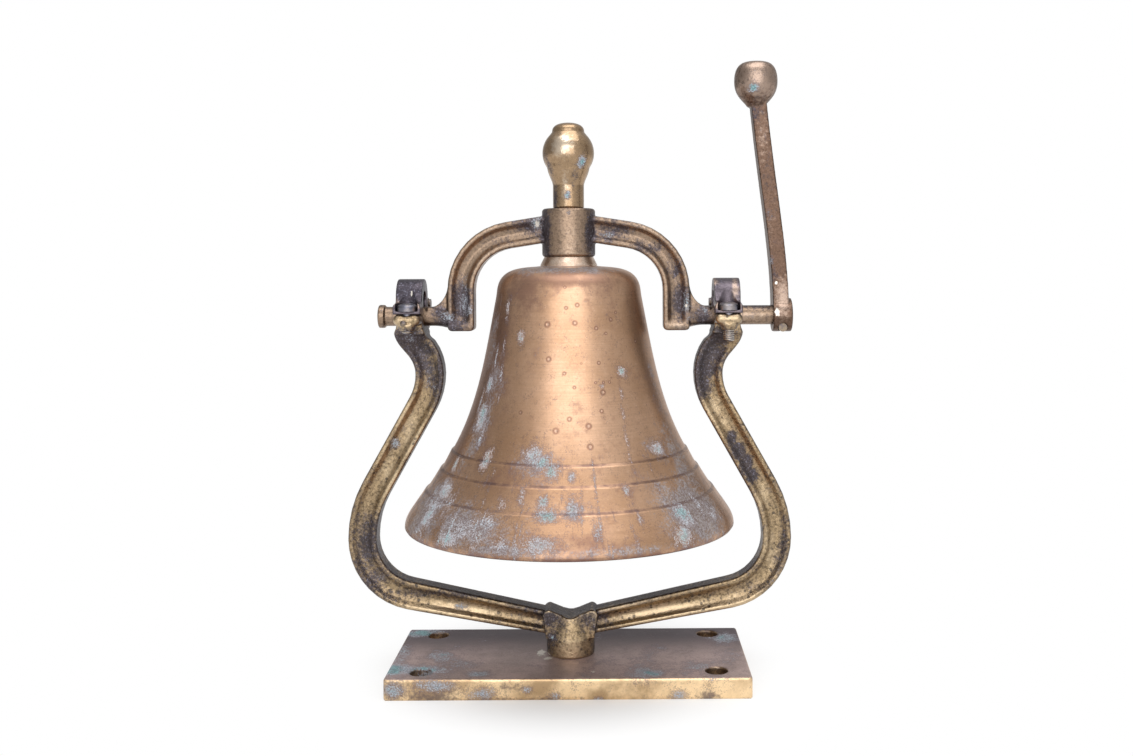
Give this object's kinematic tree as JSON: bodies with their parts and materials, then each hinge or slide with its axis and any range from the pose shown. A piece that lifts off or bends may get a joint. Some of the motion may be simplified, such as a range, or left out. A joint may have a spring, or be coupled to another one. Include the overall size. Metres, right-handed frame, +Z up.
{
  "type": "locomotive bell",
  "caption": "Bronze bell hung from a yoke that swings on trunnions in a cast brass cradle on a flat base plate, with a hand lever and an inner clapper.",
  "frame": {"origin": "centre of the base plate's underside, and of its four mounting holes", "axes": "+Z up along the bell's axis, +X along the trunnions towards the ringing lever, -Y towards the clamp lugs at the front"},
  "size_m": [0.3442, 0.254, 0.4749],
  "materials": {
    "plate_brass": "rough cast brass, brown on top, with worn yellow edges and green stains",
    "cradle_brass": "rough cast brass with worn bright rims and dark grime in the flutes",
    "yoke_brass": "rough cast brass with worn rims and dark grime in the flutes",
    "bell_bronze": "satin turned bronze with verdigris streaks",
    "acorn_brass": "worn turned brass",
    "lever_bronze": "worn cast bronze",
    "cap_brass": "dark tarnished cast brass",
    "clapper_iron": "dark forged iron",
    "bolt_steel": "dull blue-grey steel"
  },
  "bodies": {
    "cradle_frame": {"base_plate": "plate_brass", "cradle": "cradle_brass", "foot_screw": "bolt_steel", "left_bearing_cap": "cap_brass", "right_bearing_cap": "cap_brass", "left_hinge_pin": "cap_brass", "right_hinge_pin": "cap_brass", "left_clamp_bolt": "bolt_steel", "right_clamp_bolt": "bolt_steel"},
    "swinging_bell": {"yoke": "yoke_brass", "ringing_lever": "lever_bronze", "lever_taper_pin": "bolt_steel", "bell": "bell_bronze", "crown_collar": "bell_bronze", "crown_stud": "bolt_steel", "acorn_nut": "acorn_brass", "crown_washer": "bolt_steel", "crown_nut": "bolt_steel", "clapper_fork": "clapper_iron", "clapper_pin": "bolt_steel"},
    "clapper": {"clapper_rod": "clapper_iron", "clapper_ball": "clapper_iron", "clapper_lock_nut": "bolt_steel"}
  },
  "joints": [
    {"name": "bell_swing", "type": "hinge", "parent": "cradle_frame", "child": "swinging_bell", "pos_m": [0, 0, 0.27888], "axis": [1, 0, 0], "range_deg": [-75, 75]},
    {"name": "clapper_swing", "type": "hinge", "parent": "swinging_bell", "child": "clapper", "pos_m": [0, 0, 0.26348], "axis": [1, 0, 0], "range_deg": [-32, 32]}
  ]
}
